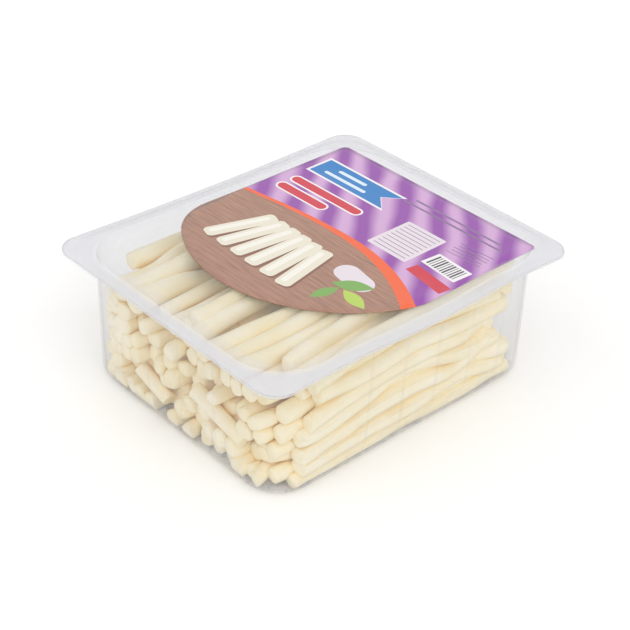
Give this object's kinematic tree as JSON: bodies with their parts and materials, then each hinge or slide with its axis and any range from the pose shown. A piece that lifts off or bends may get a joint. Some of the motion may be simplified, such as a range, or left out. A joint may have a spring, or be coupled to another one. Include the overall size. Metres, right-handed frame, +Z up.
{
  "type": "sealed tray of cheese sticks",
  "caption": "Clear thermoformed tray with a film lid and a printed label, packed full of thin plain cheese sticks that lie side by side.",
  "frame": {"origin": "middle of the tray's footprint, at the height of the surface that the tray stands on", "axes": "+Z up, +Y along the sticks towards the label's straight edge, +X to the right seen from the label's round end"},
  "size_m": [0.15, 0.178, 0.0667],
  "materials": {
    "clear_tray": "clear thermoformed sheet, glossy, faintly grey",
    "clear_film": "clear sealing film, glossy, slightly rippled",
    "printed_label": "coated label printed in purple, orange and brown fields",
    "cheese": "moist pale cream cheese, satin, lets light through"
  },
  "bodies": {
    "root": {"tray": "clear_tray", "film": "clear_film", "label": "printed_label", "cheese_sticks": "cheese"}
  },
  "joints": []
}
